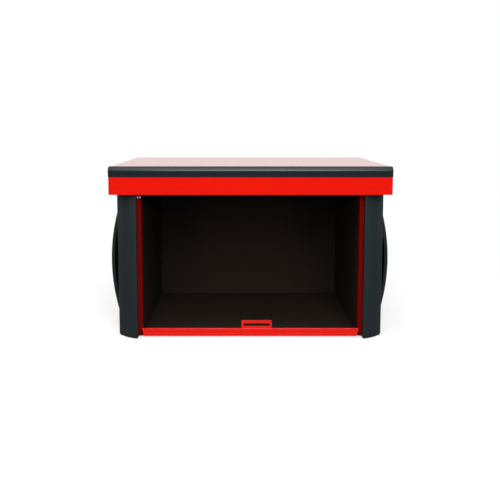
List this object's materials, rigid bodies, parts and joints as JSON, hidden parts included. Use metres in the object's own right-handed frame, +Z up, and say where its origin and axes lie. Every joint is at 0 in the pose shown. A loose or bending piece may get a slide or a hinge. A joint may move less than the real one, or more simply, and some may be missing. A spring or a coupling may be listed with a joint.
{
  "type": "drawer tool box",
  "caption": "Open-fronted red steel tool chest without drawers, with a lift-up lid, anthracite corner posts and bowed side grips.",
  "frame": {"origin": "on the ground, under the middle of the closed chest's box", "axes": "+X to the right seen from the open front, +Y from the front to the back, +Z up"},
  "size_m": [0.738, 0.445, 0.438],
  "materials": {
    "red_paint": "gloss red powder coat",
    "dark_paint": "satin near-black powder coat",
    "anthracite_plastic": "fine-grained moulded anthracite plastic",
    "black_plastic": "satin black",
    "black_rubber": "matt",
    "zinc_steel": "bright zinc plate",
    "chrome_rod": "hard chrome"
  },
  "bodies": {
    "chest": {"back_panel": "dark_paint", "bottom_front_rail": "red_paint", "floor_pan": "dark_paint", "front_post_left": "anthracite_plastic", "front_post_right": "anthracite_plastic", "front_stile_left": "red_paint", "front_stile_right": "red_paint", "grip_screws": "zinc_steel", "hasp_tab": "red_paint", "hinge_body_leaf": "zinc_steel", "hinge_pin": "zinc_steel", "hinge_rivets": "zinc_steel", "inner_wall_left": "dark_paint", "inner_wall_right": "dark_paint", "lid_buffers": "black_rubber", "post_rivets": "black_plastic", "rear_post_left": "anthracite_plastic", "rear_post_right": "anthracite_plastic", "rear_top_rail": "dark_paint", "side_grip_left": "anthracite_plastic", "side_grip_right": "anthracite_plastic", "side_panel_left": "red_paint", "side_panel_right": "red_paint", "stile_rivets": "zinc_steel", "strut_body_bracket_left": "zinc_steel", "strut_body_bracket_right": "zinc_steel", "till_shelf": "dark_paint", "top_front_rail": "red_paint"},
    "lid": {"lid_pan": "red_paint", "lid_trim": "anthracite_plastic", "trim_end_cap_left": "anthracite_plastic", "trim_end_cap_right": "anthracite_plastic", "lid_stiffener": "dark_paint", "hinge_lid_leaf": "zinc_steel", "strut_lid_bracket_left": "zinc_steel", "strut_lid_bracket_right": "zinc_steel"},
    "strut_tube_left": {"strut_cylinder_left": "dark_paint"},
    "strut_piston_left": {"strut_rod_left": "chrome_rod"},
    "strut_tube_right": {"strut_cylinder_right": "dark_paint"},
    "strut_piston_right": {"strut_rod_right": "chrome_rod"}
  },
  "joints": [
    {"name": "lid_hinge", "type": "hinge", "parent": "chest", "child": "lid", "pos_m": [0, 0.2167, 0.4317], "axis": [-1, 0, 0], "range_deg": [0, 85]},
    {"name": "strut_swing_left", "type": "hinge", "parent": "chest", "child": "strut_tube_left", "pos_m": [-0.318, 0.01, 0.388], "axis": [1, 0, 0], "range_deg": [0, 15.5]},
    {"name": "strut_stroke_left", "type": "slide", "parent": "strut_tube_left", "child": "strut_piston_left", "axis": [0, 0.985, 0.1724], "range_m": [0, 0.04462]},
    {"name": "strut_swing_right", "type": "hinge", "parent": "chest", "child": "strut_tube_right", "pos_m": [0.318, 0.01, 0.388], "axis": [1, 0, 0], "range_deg": [0, 15.5]},
    {"name": "strut_stroke_right", "type": "slide", "parent": "strut_tube_right", "child": "strut_piston_right", "axis": [0, 0.985, 0.1724], "range_m": [0, 0.04462]}
  ],
  "couplings": [
    {"joint": "strut_swing_left", "follows": "lid_hinge", "ratio": 0.18223},
    {"joint": "strut_stroke_left", "follows": "lid_hinge", "m_per_rad": 0.03006},
    {"joint": "strut_swing_right", "follows": "lid_hinge", "ratio": 0.18223},
    {"joint": "strut_stroke_right", "follows": "lid_hinge", "m_per_rad": 0.03006}
  ]
}
